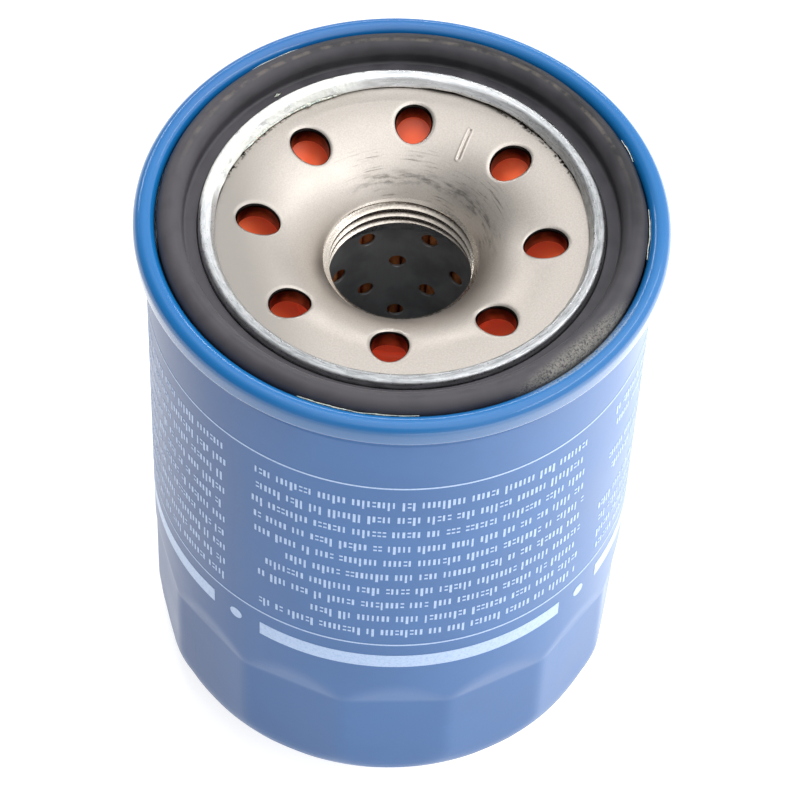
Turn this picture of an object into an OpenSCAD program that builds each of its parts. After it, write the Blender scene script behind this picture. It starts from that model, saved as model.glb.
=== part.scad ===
// Spin-on oil filter, cut down to the pieces it would fall into on a bench.
// Millimetres. The origin is the middle of the closed end, which the filter stands on.
// +Z runs up the axis to the threaded end.

/* [Can] */
// Diameter of the drawn can
can_d = 65; // [64.8:0.1:65]
// Height of the can to the top of its rolled seam
can_h = 86.5; // [86.5:0.5:90]
// Sheet thickness of the can
can_wall = 0.5; // [0.4:0.05:0.5]
// Radius of the corner round the closed end
corner_r = 8; // [6:0.5:10]
// Depth of the dish pressed into the closed end
dish_depth = 1; // [0.5:0.1:1.5]
// Number of flats for a cap wrench
flat_count = 14; // [12:1:15]
// Height at which the flats start to run out
flat_height = 21.8; // [18:0.2:26]
// Direction that the middle of one flat faces, in degrees
flat_angle = -86; // [-90:1:-80]

/* [Seam and lid] */
// Diameter over the rolled seam
seam_d = 68; // [68:0.1:68.4]
// Height of the rolled seam
seam_h = 3.5; // [3.4:0.1:3.6]
// Sheet thickness of the lid
lid_wall = 0.5; // [0.4:0.05:0.5]
// Diameter along the crown of the lid's raised bead
bead_d = 49.6; // [49.4:0.1:49.8]

/* [Threaded plate] */
// Minor diameter of the M20 x 1.5 thread
thread_minor_d = 18.38; // [18.2:0.02:18.6]
// Diameter of the thread's chamfered lip
lip_d = 20; // [20:0.1:20.4]
// Thickness of the pressed plate
plate_t = 2.6; // [2.4:0.1:2.8]
// Length of the collar from its lip to its lower end
collar_h = 4.9; // [4.6:0.1:5.2]
// Radius of the curve that runs down into the thread
funnel_r = 13.2; // [13.2:0.1:14]
// Number of oil inlet holes
inlet_count = 8; // [6:1:8]
// Diameter of an inlet hole
inlet_d = 5.3; // [4:0.1:5.6]
// Pitch circle of the inlet holes
inlet_pitch_d = 36.6; // [36:0.1:38]
// Direction of the first inlet hole, in degrees
inlet_angle = -2.5; // [-22:0.5:22]

/* [Sealing gasket] */
// Outer diameter of the gasket
gasket_d = 62; // [61.8:0.1:62]
// Width of the gasket's round bead
gasket_bead_w = 3.3; // [3:0.1:3.5]
// How far the bead stands above the seam
gasket_proud = 0.5; // [0.3:0.1:0.8]

/* [Filter element] */
// Height of the lower end cap above the surface the filter stands on
element_z = 14; // [14:0.5:16]
// Diameter over the end caps
cap_d = 55.2; // [54:0.2:56]
// Sheet thickness of the end caps
cap_wall = 0.4; // [0.3:0.05:0.4]
// Depth of adhesive in each end cap
potting_h = 1.55; // [1.2:0.05:2]
// Outer diameter of the pleated paper
media_od = 53.2; // [50:0.2:53.2]
// Inner diameter of the pleated paper
media_id = 26; // [26:0.2:27]
// Number of pleats
pleats = 48; // [40:1:48]
// Thickness of the paper
paper_t = 0.65; // [0.5:0.05:0.65]
// Outer diameter of the centre tube
tube_d = 24.8; // [24.8:0.1:25]
// Sheet thickness of the centre tube
tube_wall = 0.4; // [0.3:0.05:0.4]
// Diameter of the tube's oil holes
tube_hole_d = 2.3; // [1.5:0.1:2.6]
// Holes in each row round the tube
tube_holes = 9; // [6:1:9]
// Distance between rows of tube holes
tube_row = 5.2; // [5:0.1:6]

/* [Anti-drain valve] */
// Diameter of the flap's sealing lip
flap_d = 46.8; // [46:0.2:47]

/* [Relief valve] */
// Diameter of the relief port
port_d = 9.2; // [8:0.2:10]
// Diameter of the valve disc
disc_d = 14.8; // [14:0.2:15]
// Radius of the valve stem
stem_r = 1.6; // [1.4:0.1:1.8]
// Height of the relief valve's cage
cage_h = 12; // [12:0.5:14]
// Wire diameter of the relief spring
relief_wire = 0.8; // [0.6:0.1:0.9]

/* [Support spring] */
// Wire diameter
spring_wire = 2; // [1.6:0.1:2.2]
// Mean diameter of the bottom turn
spring_low_d = 39; // [38:0.5:40]
// Mean diameter of the top turn
spring_top_d = 29.2; // [29:0.2:30]

/* [Hidden] */
$fn = 96;

// Gap that keeps two touching faces apart
gap = 0.05;
// Overshoot of a cutter past the solid that it cuts
over = 1;

// Can
can_r = can_d / 2;
can_split_z = 60;
neck_z = 81;
neck_h = 0.9;
dish_r = 14;
dish_run = 3;
flat_apothem = can_r * cos(180 / flat_count);
flat_runout = 5;
flat_cut_w = 24;
flat_cut_r = can_r + 5;

// Seam: the lid's chuck wall, the can, the lid's hook, the can's hook and the lid's outer wall, from inside
seam_layers_w = 2.3;
seam_r = seam_d / 2 - lid_wall / 2;
seam_chuck_r = seam_r - seam_layers_w;
seam_mid_r = (seam_r + seam_chuck_r) / 2;
seam_arc_r = (seam_r - seam_chuck_r) / 2;
seam_arc_z = can_h - seam_arc_r - lid_wall / 2;
seam_hook_r = 0.6;
seam_hook_z = can_h - seam_h + seam_hook_r + lid_wall / 2;
lid_hook_top_z = seam_arc_z - 0.25;
can_hook_arc_r = 0.55;
can_hook_h = 0.95;
can_neck_r = seam_chuck_r + can_hook_arc_r;
can_hook_end_z = seam_arc_z - can_hook_h;

// Threaded plate
minor_r = thread_minor_d / 2;
lip_r = lip_d / 2;
plate_sink = 3.1;
plate_z = can_h - plate_sink;
funnel_at_r = 21;
funnel_z = plate_z - funnel_r;
lip_angle = acos((lip_r - funnel_at_r) / funnel_r);
lip_z = funnel_z + funnel_r * sin(lip_angle);
collar_r = 12.3;
collar_z = lip_z - collar_h;
under_r = funnel_r - plate_t;
under_angle = acos((collar_r - funnel_at_r) / under_r);
step_r = 23.9;
step_run = 1;
step_under_r = step_r - 0.4;
step_drop = 1.8;
plate_r = 30.9;
flange_z = plate_z - step_drop;

// Lid groove and bead
groove_z = flange_z + lid_wall / 2;
bend_r = 0.5;
bead_r = bead_d / 2;
bead_half_w = 0.75;
bead_z = can_h - 2.4;
bead_edge_z = plate_z + gap;

// Gasket
gasket_r = gasket_d / 2;
gasket_bead_r = gasket_bead_w / 2;
gasket_z = groove_z + lid_wall / 2 + gap / 2;
gasket_bead_z = can_h + gasket_proud - gasket_bead_r;
gasket_web_h = 1.9;
gasket_in_r = bead_r + bead_half_w + lid_wall / 2 + 2 * gap;
gasket_fillet = 0.4;
gasket_chamfer = 0.2;

// Anti-drain valve
valve_in_r = collar_r + gap;
hub_r = 14.4;
hub_h = 4.1;
hub_top_r = hub_r - 0.5;
flap_root_z = 1.7;
flap_root_top_z = 3.3;
flap_lip_z = plate_z - plate_t - gap;
flap_lip_w = 0.8;
flap_lip_t = 0.5;

// Element
cap_clearance = 1.3;
cap_top_z = collar_z - cap_clearance;
cap_mid_r = (cap_d - cap_wall) / 2;
cap_bend_r = 0.3;
cap_flange_h = 3.2;
cap_neck_h = 2.1;
tube_r = tube_d / 2;
tube_in_r = tube_r - tube_wall;
tube_z = element_z + cap_wall + gap;
tube_top_z = cap_top_z - cap_wall - gap;
tube_hole_top_z = cap_top_z - 4.1;
tube_hole_bottom_z = element_z + 5;
tube_hole_angle = 92.3;
potting_in_r = tube_r + gap;
potting_r = cap_d / 2 - cap_wall - gap;
media_z = tube_z + potting_h;
media_top_z = tube_top_z - potting_h;
media_r = media_od / 2;
media_in_r = media_id / 2;
fold_half_w = 0.78;
clip_wall = 0.35;
clip_leg = 4;
clip_turn = 7;

// Relief valve
port_r = port_d / 2;
disc_r = disc_d / 2;
valve_z = tube_z;
cap_port_r = 6.5;
seat_r = 8.8;
seat_t = 0.55;
seat_rim_h = 0.25;
seat_rim_w = 0.6;
seal_t = 0.9;
seal_z = valve_z + seat_t + seat_rim_h + gap / 2;
spigot_r = 2.95;
disc_z = seal_z + seal_t;
disc_t = 0.7;
stem_h = 12.5;
stem_clearance = 0.06;
cage_wall = 0.4;
cage_r = seat_r + gap + cage_wall;
cage_flange_r = tube_in_r - 4 * gap;
cage_windows = 4;
window_angle = 45;
window_w = 6;
window_z = valve_z + 3;
window_h = 6;
relief_mid_r = 4.6;
relief_turns = 5.5;

// Support spring and its seat
spring_seat_t = 0.5;
spring_seat_z = element_z - spring_seat_t / 2 - gap / 2;
spring_seat_in_r = 12.9;
spring_seat_r = 17.4;
spring_lip_h = 2.1;
spring_turns = 4.5;
spring_dead_turns = 0.75;
spring_sides = 10;
spring_steps = 30;

// Points along an arc about c, from angle a0 to angle a1
function arc(c, r, a0, a1, n = 8) =
    [for (i = [0:n]) let (a = a0 + (a1 - a0) * i / n) c + r * [cos(a), sin(a)]];

function unit(v) = v / norm(v);
function left_of(v) = [-v[1], v[0]];
function heading(path, i) = unit(path[min(i + 1, len(path) - 1)] - path[min(i, len(path) - 2)]);

// Mitred direction square to a path at its point i
function square_to(path, i) =
    let (a = left_of(heading(path, max(i - 1, 0))), b = left_of(heading(path, i)), m = unit(a + b))
    m / (m * a);

function shifted(path, d) = [for (i = [0:len(path) - 1]) path[i] + d * square_to(path, i)];
function reversed(list) = [for (i = [len(list) - 1:-1:0]) list[i]];

// Outline of sheet metal of thickness t along a middle line
module sheet(path, t) {
    polygon(concat(shifted(path, t / 2), reversed(shifted(path, -t / 2))));
}

// Sheet metal spun round the Z axis
module spun_sheet(path, t) {
    rotate_extrude() sheet(path, t);
}

// Flat ring between two radii and two heights
module ring(r_in, r_out, z0, z1) {
    rotate_extrude() translate([r_in, z0]) square([r_out - r_in, z1 - z0]);
}

// How far along a coil's rise a turn is, with level turns at both ends
function coil_rise(turn, turns, dead) = min(1, max(0, (turn - dead) / (turns - 2 * dead)));

// Round wire wound up the Z axis from radius r0 at height z0 to radius r1 at height z1
module coil(r0, z0, r1, z1, wire_r, turns, dead, sides, steps) {
    last = ceil(turns * steps);
    points = [for (i = [0:last], j = [0:sides - 1])
        let (turn = turns * i / last, rise = coil_rise(turn, turns, dead), b = 360 * j / sides)
        let (r = r0 + (r1 - r0) * rise + wire_r * cos(b))
        [r * cos(360 * turn), r * sin(360 * turn), z0 + (z1 - z0) * rise + wire_r * sin(b)]];
    walls = [for (i = [0:last - 1], j = [0:sides - 1])
        let (k = (j + 1) % sides)
        [i * sides + j, i * sides + k, (i + 1) * sides + k, (i + 1) * sides + j]];
    start = [for (j = [sides - 1:-1:0]) j];
    end = [for (j = [0:sides - 1]) last * sides + j];
    polyhedron(points, concat(walls, [start, end]));
}

// One wrench flat's cutter: the plane at its apothem, leaning out until it leaves the can
module flat_cutter(apothem) {
    lean = flat_cut_r - apothem;
    rotate([90, 0, 0]) linear_extrude(flat_cut_w, center = true) polygon([
        [apothem, -over],
        [apothem, flat_height],
        [flat_cut_r, flat_height + flat_runout * lean],
        [flat_cut_r + over, -over]]);
}

// The can's lower half as a filled body, inset from its outside
module can_body(inset, top_z) {
    difference() {
        rotate_extrude() polygon(concat(
            [[0, top_z], [0, dish_depth + inset], [dish_r, dish_depth + inset], [dish_r + dish_run, inset]],
            arc([can_r - corner_r, corner_r], corner_r - inset, -90, 0, 12),
            [[can_r - inset, top_z]]));
        for (i = [0:flat_count - 1])
            rotate([0, 0, flat_angle + i * 360 / flat_count]) flat_cutter(flat_apothem - inset);
    }
}

module can_shell() {
    upper = concat(
        [[can_r - can_wall / 2, can_split_z], [can_r - can_wall / 2, neck_z], [can_neck_r, neck_z + neck_h]],
        arc([can_neck_r + can_hook_arc_r, seam_arc_z], can_hook_arc_r, 180, 0),
        [[can_neck_r + 2 * can_hook_arc_r, can_hook_end_z]]);
    color("cornflowerblue") union() {
        difference() {
            can_body(0, can_split_z);
            can_body(can_wall, can_split_z + over);
        }
        spun_sheet(upper, can_wall);
    }
}

module seaming_lid() {
    path = concat(
        [[bead_r - bead_half_w, bead_edge_z]],
        arc([bead_r, bead_z], bead_half_w, 180, 0),
        arc([bead_r + bead_half_w + bend_r, groove_z + bend_r], bend_r, 180, 270, 4),
        arc([seam_chuck_r - bend_r, groove_z + bend_r], bend_r, 270, 360, 4),
        arc([seam_mid_r, seam_arc_z], seam_arc_r, 180, 0, 12),
        arc([seam_r - seam_hook_r, seam_hook_z], seam_hook_r, 0, -180),
        [[seam_r - 2 * seam_hook_r, lid_hook_top_z]]);
    color("dodgerblue") spun_sheet(path, lid_wall);
}

// Sealing compound that fills the lid's hook below the end of the can's hook
module seam_compound() {
    fill_r = seam_hook_r - lid_wall / 2 - gap;
    hook_r = seam_r - seam_hook_r;
    color("gray") rotate_extrude() polygon(concat(
        arc([hook_r, seam_hook_z], fill_r, 180, 360),
        [[hook_r + fill_r, can_hook_end_z - gap], [hook_r - fill_r, can_hook_end_z - gap]]));
}

module base_plate() {
    color("silver") difference() {
        rotate_extrude() polygon(concat(
            [[minor_r, collar_z], [minor_r, lip_z - (lip_r - minor_r)]],
            arc([funnel_at_r, funnel_z], funnel_r, lip_angle, 90, 16),
            [[step_r, plate_z], [step_r + step_run, flange_z], [plate_r, flange_z],
                [plate_r, flange_z - plate_t], [step_under_r + step_run, flange_z - plate_t],
                [step_under_r, plate_z - plate_t]],
            arc([funnel_at_r, funnel_z], under_r, 90, under_angle, 12),
            [[collar_r, collar_z]]));
        for (i = [0:inlet_count - 1])
            rotate([0, 0, inlet_angle + i * 360 / inlet_count])
                translate([inlet_pitch_d / 2, 0, collar_z]) cylinder(h = 2 * funnel_r, d = inlet_d);
    }
}

module gasket() {
    web_r = gasket_r - gasket_bead_w;
    web_z = gasket_z + gasket_web_h;
    color("dimgray") rotate_extrude() polygon(concat(
        [[gasket_in_r, gasket_z + gasket_chamfer], [gasket_in_r + gasket_chamfer, gasket_z],
            [gasket_r - gasket_chamfer, gasket_z], [gasket_r, gasket_z + gasket_chamfer]],
        arc([gasket_r - gasket_bead_r, gasket_bead_z], gasket_bead_r, 0, 180, 14),
        arc([web_r - gasket_fillet, web_z + gasket_fillet], gasket_fillet, 0, -90, 4),
        [[gasket_in_r, web_z]]));
}

module anti_drain_valve() {
    z = cap_top_z + gap;
    lip_r = flap_d / 2;
    color("orangered") rotate_extrude() polygon([
        [valve_in_r, z],
        [hub_r, z],
        [hub_r, z + flap_root_z],
        [lip_r, flap_lip_z - flap_lip_t],
        [lip_r, flap_lip_z],
        [lip_r - flap_lip_w, flap_lip_z],
        [hub_top_r, z + flap_root_top_z],
        [hub_top_r, z + hub_h],
        [valve_in_r, z + hub_h]]);
}

module upper_end_cap() {
    z = cap_top_z - cap_wall / 2;
    neck_r = tube_in_r - gap - cap_wall / 2;
    color("lightgray") spun_sheet(concat(
        [[neck_r, cap_top_z - cap_neck_h]],
        arc([neck_r + cap_bend_r, z - cap_bend_r], cap_bend_r, 180, 90, 4),
        arc([cap_mid_r - cap_bend_r, z - cap_bend_r], cap_bend_r, 90, 0, 4),
        [[cap_mid_r, cap_top_z - cap_flange_h]]), cap_wall);
}

module upper_potting() {
    color("firebrick") ring(potting_in_r, potting_r, media_top_z, tube_top_z);
}

// One outline of the pleated paper, outer or inner, with flat folds of the given half widths
function pleat_outline(ridge_r, ridge_w, valley_r, valley_w) =
    [for (i = [0:pleats - 1], p = [[0, ridge_r, -ridge_w], [0, ridge_r, ridge_w],
            [0.5, valley_r, -valley_w], [0.5, valley_r, valley_w]])
        let (a = 360 * (i + p[0]) / pleats + p[2] / p[1] * 180 / PI)
        p[1] * [cos(a), sin(a)]];

module filter_media() {
    color("sandybrown") translate([0, 0, media_z]) linear_extrude(media_top_z - media_z) difference() {
        polygon(pleat_outline(media_r, fold_half_w, media_in_r + paper_t, fold_half_w - paper_t));
        polygon(pleat_outline(media_r - paper_t, fold_half_w - paper_t, media_in_r, fold_half_w));
    }
}

// Channel that clamps the two ends of the paper together along one fold
module media_clip() {
    half_w = fold_half_w + 2 * gap;
    color("lightsteelblue") rotate([0, 0, clip_turn * 360 / pleats])
        translate([0, 0, media_z]) linear_extrude(media_top_z - media_z) difference() {
            translate([media_r + gap + clip_wall - clip_leg, -half_w - clip_wall])
                square([clip_leg, 2 * (half_w + clip_wall)]);
            translate([media_r + gap - clip_leg, -half_w]) square([clip_leg, 2 * half_w]);
        }
}

module centre_tube() {
    rows = floor((tube_hole_top_z - tube_hole_bottom_z) / tube_row);
    color("darkslategray") difference() {
        ring(tube_in_r, tube_r, tube_z, tube_top_z);
        for (row = [0:rows], i = [0:tube_holes - 1])
            translate([0, 0, tube_hole_top_z - row * tube_row])
                rotate([0, 90, tube_hole_angle + (i + (row + 1) % 2 / 2) * 360 / tube_holes])
                    translate([0, 0, tube_in_r - over]) cylinder(h = tube_wall + 2 * over, d = tube_hole_d);
    }
}

module lower_potting() {
    color("firebrick") ring(potting_in_r, potting_r, tube_z, media_z);
}

module lower_end_cap() {
    z = element_z + cap_wall / 2;
    color("lightgray") spun_sheet(concat(
        [[cap_port_r, z]],
        arc([cap_mid_r - cap_bend_r, z + cap_bend_r], cap_bend_r, -90, 0, 4),
        [[cap_mid_r, element_z + cap_flange_h]]), cap_wall);
}

module relief_valve_cage() {
    mid_r = cage_r - cage_wall / 2;
    low_z = valve_z + cage_wall / 2;
    top_z = valve_z + cage_h - cage_wall / 2;
    color("gainsboro") difference() {
        spun_sheet(concat(
            [[cage_flange_r, low_z]],
            arc([mid_r + cap_bend_r, low_z + cap_bend_r], cap_bend_r, -90, -180, 4),
            arc([mid_r - cap_bend_r, top_z - cap_bend_r], cap_bend_r, 0, 90, 4),
            [[stem_r + stem_clearance, top_z]]), cage_wall);
        for (i = [0:cage_windows - 1])
            rotate([0, 0, window_angle + i * 360 / cage_windows])
                translate([seat_r - over, -window_w / 2, window_z]) cube([cage_r, window_w, window_h]);
    }
}

module relief_valve_seat() {
    color("silver") rotate_extrude() polygon([
        [port_r, valve_z],
        [seat_r, valve_z],
        [seat_r, valve_z + seat_t],
        [port_r + 2 * seat_rim_w, valve_z + seat_t],
        [port_r + seat_rim_w, valve_z + seat_t + seat_rim_h],
        [port_r, valve_z + seat_t + seat_rim_h]]);
}

module relief_valve_seal() {
    color("black") ring(spigot_r + gap, disc_r, seal_z, disc_z - gap / 2);
}

module relief_valve_disc() {
    color("lightgray") rotate_extrude() polygon([
        [0, seal_z],
        [spigot_r, seal_z],
        [spigot_r, disc_z],
        [disc_r, disc_z],
        [disc_r, disc_z + disc_t],
        [stem_r, disc_z + disc_t],
        [stem_r, disc_z + stem_h],
        [0, disc_z + stem_h]]);
}

module relief_valve_spring() {
    wire_r = relief_wire / 2;
    low_z = disc_z + disc_t + wire_r + gap / 2;
    top_z = valve_z + cage_h - cage_wall - wire_r - gap / 2;
    color("slategray") coil(relief_mid_r, low_z, relief_mid_r, top_z, wire_r,
        relief_turns, spring_dead_turns, 8, 20);
}

module spring_seat() {
    color("silver") spun_sheet(concat(
        [[spring_seat_in_r, spring_seat_z - spring_lip_h]],
        arc([spring_seat_in_r + bend_r, spring_seat_z - bend_r], bend_r, 180, 90, 4),
        [[spring_seat_r, spring_seat_z]]), spring_seat_t);
}

module support_spring() {
    wire_r = spring_wire / 2;
    top_z = spring_seat_z - spring_seat_t / 2 - wire_r - gap / 2;
    color("slategray") coil(spring_low_d / 2, can_wall + wire_r + gap / 2, spring_top_d / 2, top_z, wire_r,
        spring_turns, spring_dead_turns, spring_sides, spring_steps);
}

can_shell();
seaming_lid();
seam_compound();
base_plate();
gasket();
anti_drain_valve();
upper_end_cap();
upper_potting();
filter_media();
media_clip();
centre_tube();
lower_potting();
lower_end_cap();
relief_valve_cage();
relief_valve_seat();
relief_valve_seal();
relief_valve_disc();
relief_valve_spring();
spring_seat();
support_spring();
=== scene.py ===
"""Looks of a spin-on oil filter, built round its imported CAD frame.

Shapes are worked out in millimetres round the Z axis, the filter's own axis, and scaled to metres when a
mesh is made. Heights come from the frame's boxes; a profile is a list of (radius, height) corners, and a
corner with a third number is turned into an arc of that radius.
"""
import random
from math import atan2, ceil, cos, dist, exp, hypot, pi, radians, sin, sqrt, tan

import bmesh
import bpy
from mathutils import Matrix, Vector
from mathutils.noise import noise


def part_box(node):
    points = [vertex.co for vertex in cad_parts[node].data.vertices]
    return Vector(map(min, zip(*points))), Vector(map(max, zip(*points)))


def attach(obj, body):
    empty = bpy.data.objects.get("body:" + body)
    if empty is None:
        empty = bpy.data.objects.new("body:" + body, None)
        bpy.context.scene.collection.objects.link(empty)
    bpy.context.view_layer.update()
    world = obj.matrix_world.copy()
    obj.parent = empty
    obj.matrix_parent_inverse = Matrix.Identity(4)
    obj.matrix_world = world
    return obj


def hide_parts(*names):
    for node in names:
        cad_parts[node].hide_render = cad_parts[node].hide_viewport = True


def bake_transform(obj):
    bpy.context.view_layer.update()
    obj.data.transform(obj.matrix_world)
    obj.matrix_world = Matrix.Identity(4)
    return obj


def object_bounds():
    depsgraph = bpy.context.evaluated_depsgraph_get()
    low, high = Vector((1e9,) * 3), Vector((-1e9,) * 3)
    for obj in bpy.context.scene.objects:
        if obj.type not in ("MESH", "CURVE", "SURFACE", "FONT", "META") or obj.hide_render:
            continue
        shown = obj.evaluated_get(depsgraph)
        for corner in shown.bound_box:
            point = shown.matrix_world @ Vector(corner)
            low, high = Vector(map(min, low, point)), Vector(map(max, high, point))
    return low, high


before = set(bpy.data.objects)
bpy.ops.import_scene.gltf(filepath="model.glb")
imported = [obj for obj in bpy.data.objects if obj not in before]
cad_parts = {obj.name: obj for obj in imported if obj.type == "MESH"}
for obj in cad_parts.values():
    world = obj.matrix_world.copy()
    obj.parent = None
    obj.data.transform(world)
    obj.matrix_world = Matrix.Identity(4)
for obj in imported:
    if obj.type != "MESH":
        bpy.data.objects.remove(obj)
cad_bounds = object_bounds()

MM = 0.001
WELD = 1e-6
HEIGHT = cad_bounds[1].z / MM
rng = random.Random(7)


def levels(node):
    """Lowest and highest level of a CAD node, in millimetres."""
    low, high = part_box(node)
    return low.z / MM, high.z / MM


def outer_radius(node):
    """Radius of a round CAD node, in millimetres."""
    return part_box(node)[1].x / MM


# ---- sizes shared by several pieces

CAN_R = 32.5
SHEET_T = 0.5
SEAM_TOP = HEIGHT - 0.5
SEAM_R = outer_radius("seaming_lid") - SHEET_T / 2
CHUCK_R = SEAM_R - 2.3
SEAM_ARC_R = (SEAM_R - CHUCK_R) / 2
SEAM_ARC_Z = SEAM_TOP - SEAM_ARC_R - SHEET_T / 2
HOOK_R = 0.6
HOOK_Z = SEAM_TOP - 3.5 + HOOK_R + SHEET_T / 2
NECK_R = CHUCK_R + 0.55
COLLAR_Z, PLATE_Z = levels("base_plate")
PLATE_T = 2.6
FUNNEL_R = 13.2
FUNNEL_AT_R = 21.0
FUNNEL_Z = PLATE_Z - FUNNEL_R
UNDER_R = FUNNEL_R - PLATE_T
LIP_R = 10.0
LIP_Z = FUNNEL_Z + sqrt(FUNNEL_R ** 2 - (FUNNEL_AT_R - LIP_R) ** 2)
GASKET_R = outer_radius("gasket")
GASKET_BEAD_R = 1.65
GASKET_BEAD_Z = HEIGHT - GASKET_BEAD_R
BEAD_R = 24.8
ELEMENT_Z = levels("lower_end_cap")[0]
CAP_TOP_Z = levels("upper_end_cap")[1]
TUBE_Z, TUBE_TOP_Z = levels("centre_tube")
TUBE_R = outer_radius("centre_tube")
TUBE_T = 0.4
MEDIA_Z, MEDIA_TOP_Z = levels("filter_media")


# ---- profiles

def spot(r, angle, z):
    """The point at a distance from the axis, in a direction in radians, at a height."""
    return r * cos(angle), r * sin(angle), z


def arc(centre, radius, start, end, steps=8):
    """Points along an arc from one angle to another, in degrees."""
    angles = [radians(start + (end - start) * i / steps) for i in range(steps + 1)]
    return [(centre[0] + radius * cos(a), centre[1] + radius * sin(a)) for a in angles]


def turned_corner(before, corner, after, radius, steps):
    """The arc that replaces one corner of a path."""
    point = Vector(corner)
    to_before = (Vector(before) - point).normalized()
    to_after = (Vector(after) - point).normalized()
    half = to_before.angle(to_after) / 2
    centre = point + (to_before + to_after).normalized() * (radius / sin(half))
    start = point + to_before * (radius / tan(half)) - centre
    end = point + to_after * (radius / tan(half)) - centre
    sweep = start.angle(end) * (1 if start.cross(end) > 0 else -1)
    turns = [Matrix.Rotation(sweep * i / steps, 2) @ start + centre for i in range(steps + 1)]
    return [tuple(turn) for turn in turns]


def rounded(corners, closed=False, steps=5):
    """A path through corners, those that give a radius turned into arcs."""
    path = []
    last = len(corners) - 1
    for i, corner in enumerate(corners):
        inside = closed or 0 < i < last
        if len(corner) < 3 or not inside:
            path.append(tuple(corner[:2]))
            continue
        before = corners[i - 1][:2]
        after = corners[(i + 1) % len(corners)][:2]
        path += turned_corner(before, corner[:2], after, corner[2], steps)
    return path


def spaced(path, gap):
    """The path with extra points, so that no step is longer than gap."""
    result = [path[0]]
    for a, b in zip(path, path[1:]):
        count = max(1, ceil(dist(a, b) / gap))
        result += [tuple(a[k] + (b[k] - a[k]) * i / count for k in (0, 1)) for i in range(1, count + 1)]
    return result


def shifted(path, distance):
    """The path moved sideways, to its left, with mitred corners."""
    headings = [(Vector(b) - Vector(a)).normalized() for a, b in zip(path, path[1:])]
    result = []
    for i, point in enumerate(path):
        before = headings[max(i - 1, 0)]
        after = headings[min(i, len(headings) - 1)]
        left = Vector((-before.y, before.x))
        mitre = (left + Vector((-after.y, after.x))).normalized()
        result.append(tuple(Vector(point) + mitre * (distance / mitre.dot(left))))
    return result


def step_toward(start, goal, length):
    """The step of a given length that leads from one point toward another."""
    return (Vector(goal) - Vector(start)).normalized() * length


def sheet_outline(path, thickness):
    """Closed outline of sheet metal along a middle line, with its cut edges slightly rounded."""
    soft = thickness * 0.2
    sides = []
    for side in (shifted(path, thickness / 2), shifted(path, -thickness / 2)[::-1]):
        first, last = (tuple(Vector(side[a]) + step_toward(side[a], side[b], soft))
                       for a, b in ((0, 1), (-1, -2)))
        sides.append([first] + side[1:-1] + [last])
    outline = []
    for here, there, (before, end) in ((*sides, path[-2:]), (*sides[::-1], path[1::-1])):
        out = step_toward(before, end, soft)
        outline += here + [tuple(Vector(here[-1]).lerp(Vector(there[0]), t) + out) for t in (0.25, 0.75)]
    return outline


# ---- meshes

def placed(name, data):
    """A new object in the scene."""
    made = bpy.data.objects.new(name, data)
    bpy.context.scene.collection.objects.link(made)
    return made


class Shell:
    """Points, faces and face materials gathered for one mesh, in millimetres."""

    def __init__(self):
        self.points = []
        self.faces = []
        self.finishes = []

    def skin(self, loops, closed=True, finish=None):
        """Quads between each loop of points and the next. finish gives a face's material from its row."""
        first = len(self.points)
        count = len(loops[0])
        for loop in loops:
            self.points += loop
        for row in range(len(loops) - 1):
            for i in range(count if closed else count - 1):
                a = first + row * count + i
                b = first + row * count + (i + 1) % count
                self.faces.append((a, b, b + count, a + count))
                self.finishes.append(finish(row) if finish else 0)

    def spin(self, profile, columns, start=0.0, warp=None, closed=True, finish=None):
        """Spins a profile round Z. warp(radius, height, angle, row) moves a point."""
        angles = [start + 2 * pi * i / columns for i in range(columns)]
        loops = []
        for row, (r, z) in enumerate(profile + profile[:1] if closed else profile):
            places = [warp(r, z, a, row) if warp else (r, z) for a in angles]
            loops.append([spot(p[0], a, p[1]) for p, a in zip(places, angles)])
        self.skin(loops, finish=finish)

    def tube(self, path, radii, sides=12, flat=1.0):
        """A round bar along 3-D points, closed and slightly rounded at both ends."""
        path = [Vector(p) for p in path]
        loops = []
        for i, point in enumerate(path):
            ahead = (path[min(i + 1, len(path) - 1)] - path[max(i - 1, 0)]).normalized()
            across = ahead.cross(Vector((0, 0, 1))).normalized()
            up = across.cross(ahead)
            ring = [2 * pi * j / sides for j in range(sides)]
            loops.append([tuple(point + radii[i] * (cos(a) * across + flat * sin(a) * up))
                          for a in ring])
        for end, inward in ((0, 1), (-1, -1)):
            centre = path[end]
            out = (path[end] - path[end + inward]).normalized() * radii[end] * 0.25
            cap = [tuple(Vector(p).lerp(centre, 0.3) + out) for p in loops[end]]
            point = [tuple(centre + out)] * sides
            loops = [point, cap] + loops if end == 0 else loops + [cap, point]
        self.skin(loops)

    def make(self, name, materials, smooth_below=40, refine=None):
        """Turns the gathered faces into an object, welded, with its normals outwards."""
        mesh = bpy.data.meshes.new(name)
        mesh.from_pydata([(x * MM, y * MM, z * MM) for x, y, z in self.points], [], self.faces)
        for material in materials:
            mesh.materials.append(material)
        mesh.polygons.foreach_set("material_index", self.finishes)
        work = bmesh.new()
        work.from_mesh(mesh)
        bmesh.ops.remove_doubles(work, verts=work.verts, dist=WELD)
        bmesh.ops.dissolve_degenerate(work, edges=work.edges, dist=WELD / 10)
        if refine:
            refine(work)
        bmesh.ops.recalc_face_normals(work, faces=work.faces)
        work.to_mesh(mesh)
        work.free()
        mesh.shade_smooth()
        mesh.set_sharp_from_angle(angle=radians(smooth_below))
        return placed(name, mesh)


def install(shell, name, finishes, body, slot, *nodes, **making):
    """Makes a piece and puts it on its body, in place of the CAD nodes that it stands for.

    A piece that stretches names two bodies and the heights at which it leaves the first and meets the second;
    those are not used here, and the piece is only left where it is, with its placement applied to its mesh.
    """
    piece = shell.make(name, [FINISHES[finish] for finish in finishes.split()], **making)
    if nodes:
        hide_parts(*nodes)
    if isinstance(body, str):
        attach(piece, body)
    else:
        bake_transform(piece)


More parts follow.
